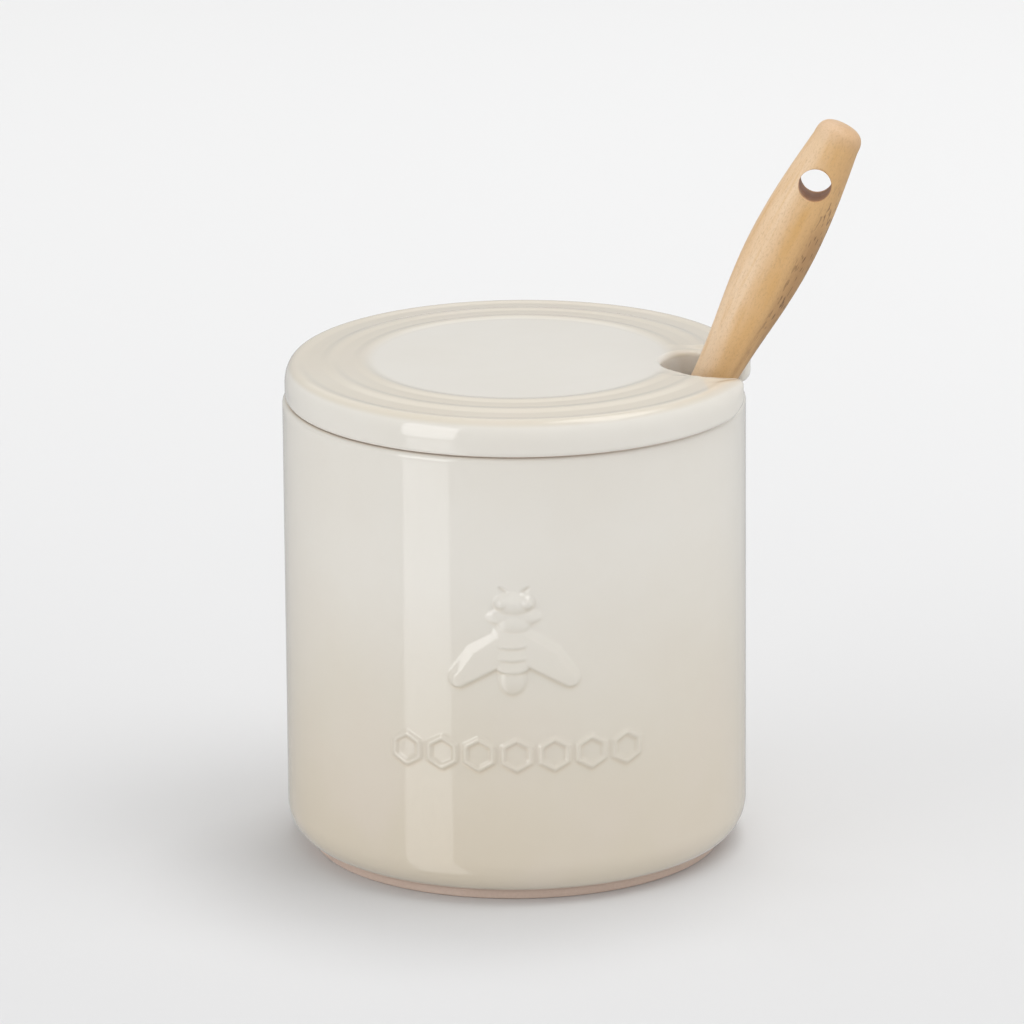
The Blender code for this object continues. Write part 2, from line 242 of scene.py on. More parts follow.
def keep_values(piece, name, rows):
    """Store one number for each vertex of a piece made of rows, for its material to read."""
    values = np.concatenate([[rows.flat[0]], rows.ravel(), [rows.flat[-1]]])
    attribute = piece.data.attributes.new(name, "FLOAT", "POINT")
    attribute.data.foreach_set("value", values.astype(np.float32))


def softened(values, spread, axes):
    """Blur samples along the given axes; spread is the standard deviation in samples."""
    reach = int(3 * spread) + 1
    weights = np.exp(-0.5 * (np.arange(-reach, reach + 1) / spread) ** 2)
    weights /= weights.sum()
    for axis in axes:
        values = np.apply_along_axis(np.convolve, axis, values, weights, mode="same")
    return values


def arc(centre, across, up, start, end, steps):
    """Points of an elliptical arc from one angle to another, in degrees."""
    angles = np.radians(np.linspace(start, end, steps + 1))
    return np.stack([centre[0] + across * np.cos(angles), centre[1] + up * np.sin(angles)], axis=-1)


def smooth_step(values, low, high):
    share = np.clip((values - low) / (high - low), 0.0, 1.0)
    return share * share * (3.0 - 2.0 * share)


# Relief

def swelling(across, up, place, half, rise, turn=0.0):
    """A rounded swelling that slopes off softly above and ends crisply below."""
    side = (across - place[0]) * math.cos(turn) + (up - place[1]) * math.sin(turn)
    height = (up - place[1]) * math.cos(turn) - (across - place[0]) * math.sin(turn)
    fullness = np.clip(1.0 - (side / half[0]) ** 2 - (height / half[1]) ** 2, 0.0, 1.0)
    return rise * fullness ** (0.72 + 0.28 * np.tanh((up - place[1]) / half[1]))


def depth_in_polygon(across, up, corners, rounding):
    """Distance inside a convex polygon grown by a rounding, negative outside it."""
    nearest = np.full(across.shape, np.inf)
    inside = np.ones(across.shape, bool)
    for start, end in zip(corners, corners[1:] + corners[:1]):
        edge = (end[0] - start[0], end[1] - start[1])
        side = across - start[0]
        height = up - start[1]
        share = np.clip((side * edge[0] + height * edge[1]) / (edge[0] ** 2 + edge[1] ** 2), 0.0, 1.0)
        nearest = np.minimum(nearest, np.hypot(side - share * edge[0], height - share * edge[1]))
        inside &= side * edge[1] - height * edge[0] >= 0.0
    return rounding + np.where(inside, nearest, -nearest)


def wing(across, up):
    """A drooping wing: a broad slope along its leading edge and a crisp trailing edge."""
    corners = [WING_ROOT, WING_BEND, WING_TIP, WING_TAIL]
    depth = depth_in_polygon(across, up, corners, WING_ROUND)
    edge = (WING_TAIL[0] - WING_TIP[0], WING_TAIL[1] - WING_TIP[1])
    below = (up - WING_TIP[1]) * edge[0] - (across - WING_TIP[0]) * edge[1]
    above = WING_ROUND - below / math.hypot(*edge)
    share = np.clip((above - 0.5 * WING_ROUND) / WING_ROUND, 0.0, 1.0)
    width = WING_TRAILING_WIDTH + (WING_LEADING_WIDTH - WING_TRAILING_WIDTH) * share
    return WING_RISE * np.clip(depth / width, 0.0, 1.0) ** (0.5 + 0.5 * share)


def abdomen(across, up):
    """A body of plates that overlap downwards, and a narrower tip below them."""
    line = up - BAND_SAG * (across / ABDOMEN_HALF) ** 2
    below = np.clip((ABDOMEN_TURN_UP - line) / ABDOMEN_DOWN, 0.0, 1.0)
    side = np.clip(np.abs(across) / (ABDOMEN_HALF * np.sqrt(1.0 - below ** 6) + 1e-6), 0.0, 1.0)
    body = (1.0 - side ** 2) ** 0.6 * np.sqrt(1.0 - below ** 12)
    body *= smooth_step(up, THORAX_UP, THORAX_UP - ABDOMEN_FADE)
    plate = np.floor((line - BAND_LOWEST_UP) / BAND_PITCH)
    thickness = 1.0 - ((line - BAND_LOWEST_UP) / BAND_PITCH - plate)
    plates = np.where((plate >= 0) & (plate < BAND_COUNT), BAND_RISE * thickness, 0.0)
    tip = swelling(across, up, ABDOMEN_TIP, ABDOMEN_TIP_HALF, 1.1 * ABDOMEN_RISE)
    return np.maximum(tip, (ABDOMEN_RISE + plates) * body)


def feelers(across, up):
    """Two short strokes pressed in above the head."""
    depth = np.zeros(across.shape)
    for side in (-1, 1):
        place = (side * FEELER_PLACE[0], FEELER_PLACE[1])
        depth += swelling(across, up, place, FEELER_HALF, FEELER_DEPTH, -side * FEELER_SPREAD)
    return depth


def bee(across, up):
    """A bee seen from above, head up, with its wings spread to both sides."""
    height = abdomen(across - ABDOMEN_ACROSS, up)
    for middle, half, rise in (
        (THORAX_UP, THORAX_HALF, THORAX_RISE),
        (SHOULDER_UP, SHOULDER_HALF, SHOULDER_RISE),
        (HEAD_UP, HEAD_HALF, HEAD_RISE),
    ):
        height = np.maximum(height, swelling(across, up, (0.0, middle), half, rise))
    for side in (-1, 1):
        eye = (side * EYE_PLACE[0], EYE_PLACE[1])
        height = np.maximum(height, swelling(across, up, eye, EYE_HALF, EYE_RISE))
        height = np.maximum(height, wing(side * across, up))
    return height


def honeycomb_cells(across, up):
    """A row of hexagons, each a low rounded rim round a bare middle."""
    height = np.zeros(across.shape)
    flat = CELL_RADIUS * math.cos(math.pi / 6)
    for index in range(CELL_COUNT):
        side = np.abs(across - (index - (CELL_COUNT - 1) / 2) * CELL_PITCH)
        rise = np.abs(up - CELL_UP)
        reach = np.maximum(side, side * 0.5 + rise * math.cos(math.pi / 6))
        share = np.clip(np.abs(flat - CELL_RIM / 2 - reach) / (CELL_RIM / 2), 0.0, 1.0)
        height = np.maximum(height, CELL_RISE * np.sqrt(1.0 - share ** 2))
    return height


def relief_field():
    """Height of the relief, and where glaze gathers beside it and painted shade falls below its lower
    edges, sampled over the front.
    """
    reach = FRONT_HALF + RELIEF_MARGIN
    across = np.arange(-reach, reach, RELIEF_STEP)
    up = np.arange(RELIEF_LOW, RELIEF_HIGH, RELIEF_STEP)
    across, up = np.meshgrid(across, up)
    from_bee = across - BEE_ACROSS
    height = np.maximum(bee(from_bee, up), honeycomb_cells(across, up)) - feelers(from_bee, up)
    height = softened(height, RELIEF_SOFTNESS / RELIEF_STEP, (0, 1))
    spread = softened(height, SHADE_GATHER_SPREAD / RELIEF_STEP, (0, 1))
    # Painted shade with gathered glaze: the blurred relief is moved down, so the mark lies below the
    # relief's lower edges
    gathered_and_shaded = np.roll(spread, -int(SHADE_GATHER_DROP / RELIEF_STEP), axis=0) - height
    return height, np.clip(gathered_and_shaded / SHADE_GATHER_FULL, 0.0, 1.0)


def sampled(field, across, up):
    """Read a field over the front at any places, with zero outside it."""
    column = (across + FRONT_HALF + RELIEF_MARGIN) / RELIEF_STEP
    row = (up - RELIEF_LOW) / RELIEF_STEP
    inside = (column >= 0) & (column < field.shape[1] - 1) & (row >= 0) & (row < field.shape[0] - 1)
    column = np.where(inside, column, 0.0)
    row = np.where(inside, row, 0.0)
    left = column.astype(int)
    low = row.astype(int)
    right_share = column - left
    high_share = row - low
    lower = field[low, left] * (1 - right_share) + field[low, left + 1] * right_share
    upper = field[low + 1, left] * (1 - right_share) + field[low + 1, left + 1] * right_share
    return np.where(inside, lower * (1 - high_share) + upper * high_share, 0.0)


# Pot

def pot_columns():
    """Angles round the pot from the front: closest together across the bee, widest apart behind."""
    side = np.linspace(BEE_REACH, FRONT_HALF, round((FRONT_HALF - BEE_REACH) / CELL_COLUMN) + 1)
    middle = np.linspace(-BEE_REACH, BEE_REACH, round(2 * BEE_REACH / BEE_COLUMN) + 1)[1:-1]
    front = np.concatenate([-side[::-1], middle, side]) / POT_RADIUS
    rest = math.tau - 2 * front[-1]
    count = int(rest * POT_RADIUS / OTHER_COLUMN)
    return np.concatenate([front, front[-1] + rest * np.arange(1, count) / count])


def wall_heights():
    """Heights of the wall's rows, closest together across the bee and the cells."""
    ends = [low for low, _ in WALL_STRETCHES[1:]] + [POT_HEIGHT - RIM_ROUND]
    heights = []
    for (low, step), high in zip(WALL_STRETCHES, ends):
        heights.append(np.linspace(low, high, max(2, round((high - low) / step)), endpoint=False))
    return np.concatenate(heights)


def pot_profile():
    """Radius and height from near the middle of the base to near the middle of the floor inside."""
    foot = FOOT_RADIUS - FOOT_CHAMFER
    corner = (POT_RADIUS - CORNER_ACROSS, FOOT_HEIGHT + CORNER_DOWN)
    inner = POT_RADIUS - WALL
    rim = POT_HEIGHT - RIM_ROUND
    inside = (inner - INSIDE_CORNER, FLOOR + INSIDE_CORNER)
    heights = wall_heights()
    parts = [
        np.stack([np.linspace(5.0, foot - 0.4, 9), np.zeros(9)], axis=-1),
        arc((foot, FOOT_CHAMFER), FOOT_CHAMFER, FOOT_CHAMFER, -90, 0, 5),
        [(FOOT_RADIUS, FOOT_HEIGHT / 2), (FOOT_RADIUS, FOOT_HEIGHT - 0.5)],
        [(FOOT_RADIUS + 0.12, FOOT_HEIGHT - 0.05)],
        arc(corner, CORNER_ACROSS, CORNER_DOWN, -78, -3, 18),
        np.stack([np.full(len(heights), POT_RADIUS), heights], axis=-1),
        arc((POT_RADIUS - RIM_ROUND, rim), RIM_ROUND, RIM_ROUND, 0, 90, 9),
        arc((inner + RIM_ROUND, rim), RIM_ROUND, RIM_ROUND, 90, 180, 9),
        np.stack([np.full(14, inner), np.linspace(POT_HEIGHT - WALL, inside[1] + 1, 14)], axis=-1),
        arc(inside, INSIDE_CORNER, INSIDE_CORNER, 0, -90, 9),
        np.stack([np.linspace(inside[0] - 4.0, 5.0, 6), np.full(6, FLOOR)], axis=-1),
    ]
    return np.concatenate(parts)


def make_pot():
    profile = pot_profile()
    angles = pot_columns()
    radius, angle = np.meshgrid(profile[:, 0], angles, indexing="ij")
    up = np.repeat(profile[:, 1:], len(angles), axis=1)
    across = (np.mod(angle + math.pi, math.tau) - math.pi) * POT_RADIUS
    height, gathered_and_shaded = relief_field()
    on_front = np.isclose(radius, POT_RADIUS)
    rise = np.where(on_front, sampled(height, across, up), 0.0)
    pooled_and_shaded = np.where(on_front, sampled(gathered_and_shaded, across, up), 0.0)
    out = radius + rise
    rows = np.stack([out * np.sin(angle), -out * np.cos(angle), up], axis=-1)
    pot = piece_of_rows("pot_glazed", rows, (0.0, 0.0, 0.0), (0.0, 0.0, FLOOR))
    keep_values(pot, "pooled_and_shaded", pooled_and_shaded)
    return pot


# Lid

def beaded_height(radius, beads):
    """Height of the lid's top at a distance from its axis: a flat disc, then beads down to the edge."""
    height = LID_TOP - LID_TOP_FALL * smooth_step(radius, BEAD_RADII[0] + BEAD_HALF, BEAD_RADII[-1])
    for crest in BEAD_RADII:
        share = np.clip((radius - crest) / BEAD_HALF, -1.0, 1.0)
        height = height + beads * BEAD_RISE * (0.5 + 0.5 * np.cos(math.pi * share))
    return height - NOTCH_DROOP * (1.0 - beads) * smooth_step(radius, BEAD_RADII[0], BEAD_RADII[1])


def under_height(radius, depth):
    """Height of the lid's underside: a recess inside a locating ring that stops short of the notch."""
    recess = LID_RECESS * (1.0 - smooth_step(radius, RING_INNER - 2.0, RING_INNER - 0.8))
    ring = smooth_step(radius, RING_INNER - 0.4, RING_INNER + 0.4)
    ring *= 1.0 - smooth_step(radius, RING_OUTER - 0.4, RING_OUTER + 0.4)
    dropped = RING_DROP * ring * smooth_step(depth, 2.0, 4.0)
    return LID_UNDER + recess * smooth_step(depth, 1.5, 4.0) - dropped


def lid_outline():
    """The lid seen from above, in even steps once round from the notch's deepest point.

    With each point comes the turn at which its rows reach the middle disc, and how far
    it belongs to the outer rim instead of to the notch.
    """
    horn_up = NOTCH_HALF_WIDTH + NOTCH_HORN
    horn_across = math.sqrt((LID_RADIUS - NOTCH_HORN) ** 2 - horn_up ** 2)
    horn_turn = math.degrees(math.atan2(horn_up, horn_across))
    half = np.concatenate([
        arc((NOTCH_CENTRE, 0.0), NOTCH_HALF_WIDTH, NOTCH_HALF_WIDTH, 180, 90, 60),
        arc((horn_across, horn_up), NOTCH_HORN, NOTCH_HORN, -90, horn_turn, 40),
        arc((0.0, 0.0), LID_RADIUS, LID_RADIUS, horn_turn, 180, 900)[1:],
    ])
    whole = np.concatenate([half, half[-2:0:-1] * (1.0, -1.0), half[:1]])
    length = np.concatenate([[0.0], np.cumsum(np.hypot(*np.diff(whole, axis=0).T))])
    count = 2 * round(length[-1] / LID_COLUMN / 2)
    spots = length[-1] * np.arange(count) / count
    outline = np.stack([np.interp(spots, length, whole[:, axis]) for axis in (0, 1)], axis=-1)
    notch_side = math.pi / 2 * NOTCH_HALF_WIDTH
    horn_end = notch_side + horn_across - NOTCH_CENTRE + NOTCH_HORN * math.radians(90 + horn_turn)
    half_way = length[-1] / 2
    marks = [0.0, notch_side, horn_end, half_way]
    marks += [2 * half_way - mark for mark in marks[-2::-1]]
    turns = np.interp(spots, marks, np.radians([0, 34, 46, 180, 314, 326, 360]))
    from_notch = half_way - np.abs(spots - half_way)
    rim = smooth_step(from_notch, horn_end - 2.0, horn_end + 6.0)[:, None]
    return outline, turns, rim


def outward_from(outline):
    """Unit directions that point out of a closed outline."""
    ahead = np.roll(outline, -1, axis=0) - np.roll(outline, 1, axis=0)
    ahead /= from_axis(ahead)
    return np.stack([ahead[:, 1], -ahead[:, 0]], axis=-1)


def row_at(places, height):
    return np.concatenate([places, np.broadcast_to(height, (len(places), 1))], axis=1)


def from_axis(places):
    return np.hypot(places[:, :1], places[:, 1:])


def between(first, second, share):
    return first + (second - first) * share


def lid_under_rows(disc, under_edge):
    """From near the middle of the underside out to its edge."""
    rows = []
    for share in np.linspace(0.15, 1.0, 8, endpoint=False):
        rows.append(row_at(disc * share, under_height(from_axis(disc * share), 10.0)))
    span = from_axis(under_edge - disc)
    for share in np.linspace(0.0, 1.0, 56, endpoint=False):
        places = between(disc, under_edge, share)
        rows.append(row_at(places, under_height(from_axis(places), span * (1.0 - share))))
    return rows


def lid_top_rows(disc, top_edge, rim):
    """From the edge of the top over the beads and in to near the middle."""
    rows = []
    span = from_axis(top_edge - disc)
    for share in np.linspace(1.0, 0.0, 108)[1:]:
        beads = between(smooth_step(span * (1.0 - share), 0.0, NOTCH_CALM), 1.0, rim)
        places = between(disc, top_edge, share)
        rows.append(row_at(places, beaded_height(from_axis(places), beads)))
    for share in np.linspace(1.0, 0.05, 14)[1:]:
        rows.append(row_at(disc * share, beaded_height(from_axis(disc * share), 1.0)))
    return rows


def lid_edge_rows(outline, under_edge, top_edge, rim):
    """Round the lower corner, up the side and round the upper corner."""
    under_rise = between(NOTCH_UNDER_EDGE, LID_UNDERCUT_UP, rim)
    top_fall = between(NOTCH_TOP_EDGE, LID_EDGE_DOWN, rim)
    edge_height = beaded_height(from_axis(top_edge), rim)
    rows = []
    for turn in np.linspace(0.0, EDGE_STEEPEST, 13):
        places = between(under_edge, outline, math.sin(turn))
        rows.append(row_at(places, LID_UNDER + under_rise * (1.0 - math.cos(turn))))
    side_low = LID_UNDER + under_rise * (1.0 - math.cos(EDGE_STEEPEST))
    side_high = edge_height - top_fall * (1.0 - math.cos(EDGE_STEEPEST))
    for share in (0.25, 0.5, 0.75):
        rows.append(row_at(outline, between(side_low, side_high, share)))
    for turn in np.linspace(EDGE_STEEPEST, 0.0, 17):
        places = between(top_edge, outline, math.sin(turn))
        rows.append(row_at(places, edge_height - top_fall * (1.0 - math.cos(turn))))
    return rows


def make_lid():
    outline, turns, rim = lid_outline()
    outward = outward_from(outline)
    under_edge = outline - outward * between(NOTCH_UNDER_EDGE, LID_UNDERCUT, rim)
    top_edge = outline - outward * between(NOTCH_TOP_EDGE, LID_EDGE_ACROSS, rim)
    disc = LID_DISC * np.stack([np.cos(turns), np.sin(turns)], axis=-1)
    rows = lid_under_rows(disc, under_edge)
    rows += lid_edge_rows(outline, under_edge, top_edge, rim)
    rows += lid_top_rows(disc, top_edge, rim)
    rows = np.stack(rows)
    cosine = math.cos(NOTCH_TURN)
    sine = math.sin(NOTCH_TURN)
    rows[:, :, :2] = rows[:, :, :2] @ np.array([[cosine, sine], [-sine, cosine]])
    rows[:, :, 0] += LID_SHIFT
    first_pole = (LID_SHIFT, 0.0, LID_UNDER + LID_RECESS)
    return piece_of_rows("lid_glazed", rows, first_pole, (LID_SHIFT, 0.0, LID_TOP))


# Dipper

def handle_end(distance):
    """Share of the full width and thickness near the handle's blunt end."""
    left = 1.0 - min(distance, HANDLE_END_LENGTH) / HANDLE_END_LENGTH
    return (1.0 - left ** HANDLE_END_POWER) ** (1.0 / HANDLE_END_POWER)


def handle_half_width(distance):
    """Half the dipper's width at a distance from the handle's end, above its head."""
    if distance < HANDLE_END_LENGTH:
        return HANDLE_END_HALF_WIDTH * handle_end(distance)
    if distance < HANDLE_WIDEST_AT:
        share = (distance - HANDLE_END_LENGTH) / (HANDLE_WIDEST_AT - HANDLE_END_LENGTH)
        blend = math.sin(share * math.pi / 2)
        return HANDLE_END_HALF_WIDTH + (HANDLE_WIDEST_HALF - HANDLE_END_HALF_WIDTH) * blend
    if distance < HANDLE_NECK_AT:
        share = (distance - HANDLE_WIDEST_AT) / (HANDLE_NECK_AT - HANDLE_WIDEST_AT)
        blend = 0.5 - 0.5 * math.cos(math.pi * share)
        return HANDLE_WIDEST_HALF + (HANDLE_NECK_HALF - HANDLE_WIDEST_HALF) * blend
    share = (distance - HANDLE_NECK_AT) / (DIPPER_LENGTH - GROOVED_LENGTH - HANDLE_NECK_AT)
    return HANDLE_NECK_HALF + (SHAFT_HALF_WIDTH - HANDLE_NECK_HALF) * share


def handle_half_thickness(distance):
    """The grip is flattened front and back; the neck and the shaft are round."""
    return min(handle_half_width(distance), HANDLE_HALF_THICKNESS * handle_end(distance))


def grooved_radius(share):
    """Outer radius of the grooved head, from its shoulder at 0 to its rounded lower end at 1."""
    return GROOVED_RADIUS * math.sqrt(1.0 - (1.9 * share - 0.92) ** 4)


def head_sections():
    """Discs with rounded edges, and a groove of smaller radius between each two."""
    start = DIPPER_LENGTH - GROOVED_LENGTH
    pitch = (GROOVED_LENGTH - DISC_THICKNESS) / HEAD_GROOVES
    sections = []
    for index in range(HEAD_GROOVES + 1):
        near = start + index * pitch
        for step in range(15):
            share = step / 14
            distance = near + DISC_THICKNESS * share
            outer = grooved_radius((distance - start) / GROOVED_LENGTH)
            sunk = max(0.0, abs(2.0 * share - 1.0) - 0.7) / 0.3
            radius = outer - HEAD_GROOVE_DEPTH * (1.0 - math.sqrt(max(0.0, 1.0 - sunk ** 4)))
            sections.append((distance, max(SHAFT_HALF_WIDTH, radius), max(SHAFT_HALF_WIDTH, radius)))
    return sections


def dipper_sections():
    """Distance from the handle's end, half width and half thickness, from the end to the head."""
    distances = [HANDLE_END_LENGTH * (step / 20) ** 2.5 for step in range(1, 21)]
    last = DIPPER_LENGTH - GROOVED_LENGTH
    steps = round((last - HANDLE_END_LENGTH) / 0.75)
    distances += [HANDLE_END_LENGTH + (last - HANDLE_END_LENGTH) * step / steps for step in range(1, steps)]
    sections = [(spot, handle_half_width(spot), handle_half_thickness(spot)) for spot in distances]
    return sections + head_sections()


def dipper_ring(distance, half_width, half_thickness):
    """A section across the dipper's axis: a circle, or a flattened round where it is thin."""
    power = 2.0 / (2.0 + 2.0 * (1.0 - half_thickness / half_width))
    angles = math.tau * np.arange(DIPPER_COLUMNS) / DIPPER_COLUMNS
    across = np.sign(np.cos(angles)) * np.abs(np.cos(angles)) ** power
    deep = np.sign(np.sin(angles)) * np.abs(np.sin(angles)) ** power
    height = np.full(DIPPER_COLUMNS, DIPPER_LENGTH - distance)
    return np.stack([half_width * across, half_thickness * deep, height], axis=-1)


def hole_cutter():
    """A drill through the grip that widens to a small chamfer at both faces."""
    narrow = HANDLE_HALF_THICKNESS - HOLE_CHAMFER
    wide = narrow + DRILL_FLARE
    flared = HOLE_RADIUS + DRILL_FLARE
    angles = math.tau * np.arange(DRILL_COLUMNS) / DRILL_COLUMNS
    rows = []
    for radius, deep in ((flared, -wide), (HOLE_RADIUS, -narrow), (HOLE_RADIUS, narrow), (flared, wide)):
        across = radius * np.cos(angles)
        height = HOLE_HEIGHT - radius * np.sin(angles)
        rows.append(np.stack([across, np.full(DRILL_COLUMNS, deep), height], axis=-1))
    return piece_of_rows("hole_cutter", np.stack(rows), (0.0, -wide, HOLE_HEIGHT), (0.0, wide, HOLE_HEIGHT))


def dipper_stand(sections):
    """Height of the axis's lower end at which the leaning head just clears the pot's floor."""
    lowest = 0.0
    for distance, half_width, _ in sections:
        rise = (DIPPER_LENGTH - distance) * math.cos(DIPPER_LEAN) - half_width * math.sin(DIPPER_LEAN)
        lowest = min(lowest, rise)
    return FLOOR + 0.3 - lowest


def drill_hole(dipper):
    """Cut the hanging hole and leave the dipper a plain mesh."""
    cutter = hole_cutter()
    modifier = dipper.modifiers.new("hole", "BOOLEAN")
    modifier.operation = "DIFFERENCE"
    modifier.object = cutter
    evaluated = dipper.evaluated_get(bpy.context.evaluated_depsgraph_get())
    finished = bpy.data.meshes.new_from_object(evaluated)
    dipper.modifiers.clear()
    dipper.data = finished
    bpy.data.objects.remove(cutter, do_unlink=True)


def keep_grain(mesh):
    """Store where each point lies along the upright dipper, for the wood to follow its grain."""
    places = np.empty(len(mesh.vertices) * 3, np.float32)
    mesh.vertices.foreach_get("co", places)
    attribute = mesh.attributes.new("along_grain", "FLOAT_VECTOR", "POINT")
    attribute.data.foreach_set("vector", places)


def make_dipper():
    sections = dipper_sections()
    rows = np.stack([dipper_ring(*section) for section in sections[::-1]])
    dipper = piece_of_rows("dipper_wood", rows, (0.0, 0.0, 0.0), (0.0, 0.0, DIPPER_LENGTH))
    drill_hole(dipper)
    keep_grain(dipper.data)
    stand = dipper_stand(sections)
    foot = DIPPER_AT_RIM[0] - (POT_HEIGHT - stand) * math.tan(DIPPER_LEAN)
    lean = Matrix.Rotation(DIPPER_LEAN, 4, "Y") @ Matrix.Rotation(-DIPPER_TWIST, 4, "Z")
    dipper.data.transform(Matrix.Translation(Vector((foot, DIPPER_AT_RIM[1], stand)) * METRES) @ lean)
    dipper.data.set_sharp_from_angle(angle=math.radians(32))
    return dipper


# Materials

def add_node(tree, kind, **settings):
    made = tree.nodes.new(kind)
    for name, value in settings.items():
        setattr(made, name, value)
    return made


def connect(tree, target, source):
    """Feed a socket from another socket, or set it to a plain value."""
    if isinstance(source, bpy.types.NodeSocket):
        tree.links.new(source, target)
    else:
        target.default_value = source


def maths(tree, operation, first, second=0.0, third=0.0, clamp=False):
    made = add_node(tree, "ShaderNodeMath", operation=operation, use_clamp=clamp)
    for socket, value in zip(made.inputs, (first, second, third)):
        connect(tree, socket, value)
    return made.outputs[0]


def remapped(tree, value, low, high, to_low=0.0, to_high=1.0):
    made = add_node(tree, "ShaderNodeMapRange", interpolation_type="SMOOTHSTEP")
    ends = {"From Min": low, "From Max": high, "To Min": to_low, "To Max": to_high}
    connect(tree, made.inputs["Value"], value)
    for name, item in ends.items():
        connect(tree, made.inputs[name], item)
    return made.outputs["Result"]


def nudged(tree, value, wave, amount, clamp=False):
    """Move a value up and down by a noise whose middle is a half."""
    return maths(tree, "MULTIPLY_ADD", maths(tree, "SUBTRACT", wave, 0.5), amount, value, clamp)


def hypotenuse(tree, first, second):
    squares = maths(tree, "ADD", maths(tree, "POWER", first, 2.0), maths(tree, "POWER", second, 2.0))
    return maths(tree, "SQRT", squares)


def along(tree, axis, low, high, to_low=0.0, to_high=1.0):
    """Remap a place on a piece, between two places given in millimetres."""
    return remapped(tree, axis, low * METRES, high * METRES, to_low, to_high)


def noise(tree, place, scale, detail=2.0, roughness=0.5):
    made = add_node(tree, "ShaderNodeTexNoise")
    connect(tree, made.inputs["Vector"], place)
    made.inputs["Scale"].default_value = scale
    made.inputs["Detail"].default_value = detail
    made.inputs["Roughness"].default_value = roughness
    return made.outputs["Fac"]


def mixed(tree, share, first, second):
    made = add_node(tree, "ShaderNodeMix", data_type="RGBA", clamp_factor=True)
    connect(tree, made.inputs["Factor"], share)
    colours = [socket for socket in made.inputs if socket.type == "RGBA"]
    for socket, value in zip(colours, (first, second)):
        connect(tree, socket, value)
    return [socket for socket in made.outputs if socket.type == "RGBA"][0]


def scaled(tree, place, scale):
    made = add_node(tree, "ShaderNodeVectorMath", operation="MULTIPLY")
    connect(tree, made.inputs[0], place)
    made.inputs[1].default_value = scale
    return made.outputs[0]


def colour_ramp(tree, share, stops):
    made = add_node(tree, "ShaderNodeValToRGB")
    ramp = made.color_ramp
    while len(ramp.elements) < len(stops):
        ramp.elements.new(0.5)
    for element, (position, colour) in zip(ramp.elements, stops):
        element.position = position
        element.color = colour
    connect(tree, made.inputs["Fac"], share)
    return made.outputs["Color"]


def new_material(name):
    material = bpy.data.materials.new(name)
    material.use_nodes = True
    tree = material.node_tree
    return material, tree, tree.nodes["Principled BSDF"]


def object_place(tree):
    return add_node(tree, "ShaderNodeTexCoord").outputs["Object"]


def bumped(tree, shader, height):
    bump = add_node(tree, "ShaderNodeBump")
    bump.inputs["Strength"].default_value = BUMP_STRENGTH
    bump.inputs["Distance"].default_value = BUMP_DISTANCE
    connect(tree, bump.inputs["Height"], height)
    connect(tree, shader.inputs["Normal"], bump.outputs["Normal"])


def axes_of(tree, place):
    made = add_node(tree, "ShaderNodeSeparateXYZ")
    connect(tree, made.inputs[0], place)
    return made.outputs


def fired_glaze_group():
    """Colour, roughness and surface height of glaze by its thickness, down to bare clay."""
    group = bpy.data.node_groups.new("fired_glaze", "ShaderNodeTree")
    for way, name, kind in (
        ("INPUT", "Place", "Vector"), ("INPUT", "Thickness", "Float"), ("INPUT", "Bare", "Float"),
        ("OUTPUT", "Color", "Color"), ("OUTPUT", "Roughness", "Float"), ("OUTPUT", "Height", "Float"),
    ):
        group.interface.new_socket(name, in_out=way, socket_type="NodeSocket" + kind)
    given = add_node(group, "NodeGroupInput").outputs
    place = given["Place"]
    broad = noise(group, place, 26.0)
    fine = noise(group, place, 210.0, 3.0)
    thickness = nudged(group, given["Thickness"], broad, 0.34)
    thickness = nudged(group, thickness, fine, 0.07, clamp=True)
    colour = colour_ramp(group, thickness, ((0.0, GLAZE_THIN), (0.5, GLAZE_MEDIUM), (1.0, GLAZE_THICK)))
    blush = remapped(group, noise(group, place, 41.0, 1.0), 0.5, 0.75, 0.0, 0.3)
    thin_share = maths(group, "SUBTRACT", 1.0, thickness)
    colour = mixed(group, maths(group, "MULTIPLY", blush, thin_share), colour, GLAZE_BLUSH)
    grain = noise(group, place, 1400.0, 3.0, 0.65)
    clay = mixed(group, grain, CLAY_DARK, CLAY)
    bare = remapped(group, nudged(group, given["Bare"], noise(group, place, 300.0), 0.25), 0.3, 0.7)
    gloss = remapped(group, fine, 0.3, 0.7, 0.055, 0.09)
    result = add_node(group, "NodeGroupOutput").inputs
    connect(group, result["Color"], mixed(group, bare, colour, clay))
    connect(group, result["Roughness"], maths(group, "MULTIPLY_ADD", bare, 0.6, gloss))
    wave = maths(group, "MULTIPLY", noise(group, place, 75.0, 1.5), 0.6)
    texture = maths(group, "MULTIPLY", maths(group, "MULTIPLY", grain, bare), 0.12)
    connect(group, result["Height"], maths(group, "ADD", wave, texture))
    return group


def dress_in_glaze(name, group, thickness_and_bare):
    material, tree, shader = new_material(name)
    place = object_place(tree)
    thickness, bare = thickness_and_bare(tree, place)
    glaze = add_node(tree, "ShaderNodeGroup", node_tree=group)
    for socket, value in (("Place", place), ("Thickness", thickness), ("Bare", bare)):
        connect(tree, glaze.inputs[socket], value)
    connect(tree, shader.inputs["Base Color"], glaze.outputs["Color"])
    connect(tree, shader.inputs["Roughness"], glaze.outputs["Roughness"])
    bumped(tree, shader, glaze.outputs["Height"])
    shader.inputs["IOR"].default_value = 1.5
    shader.inputs["Coat Weight"].default_value = 0.25
    shader.inputs["Coat Roughness"].default_value = 0.05
    return material


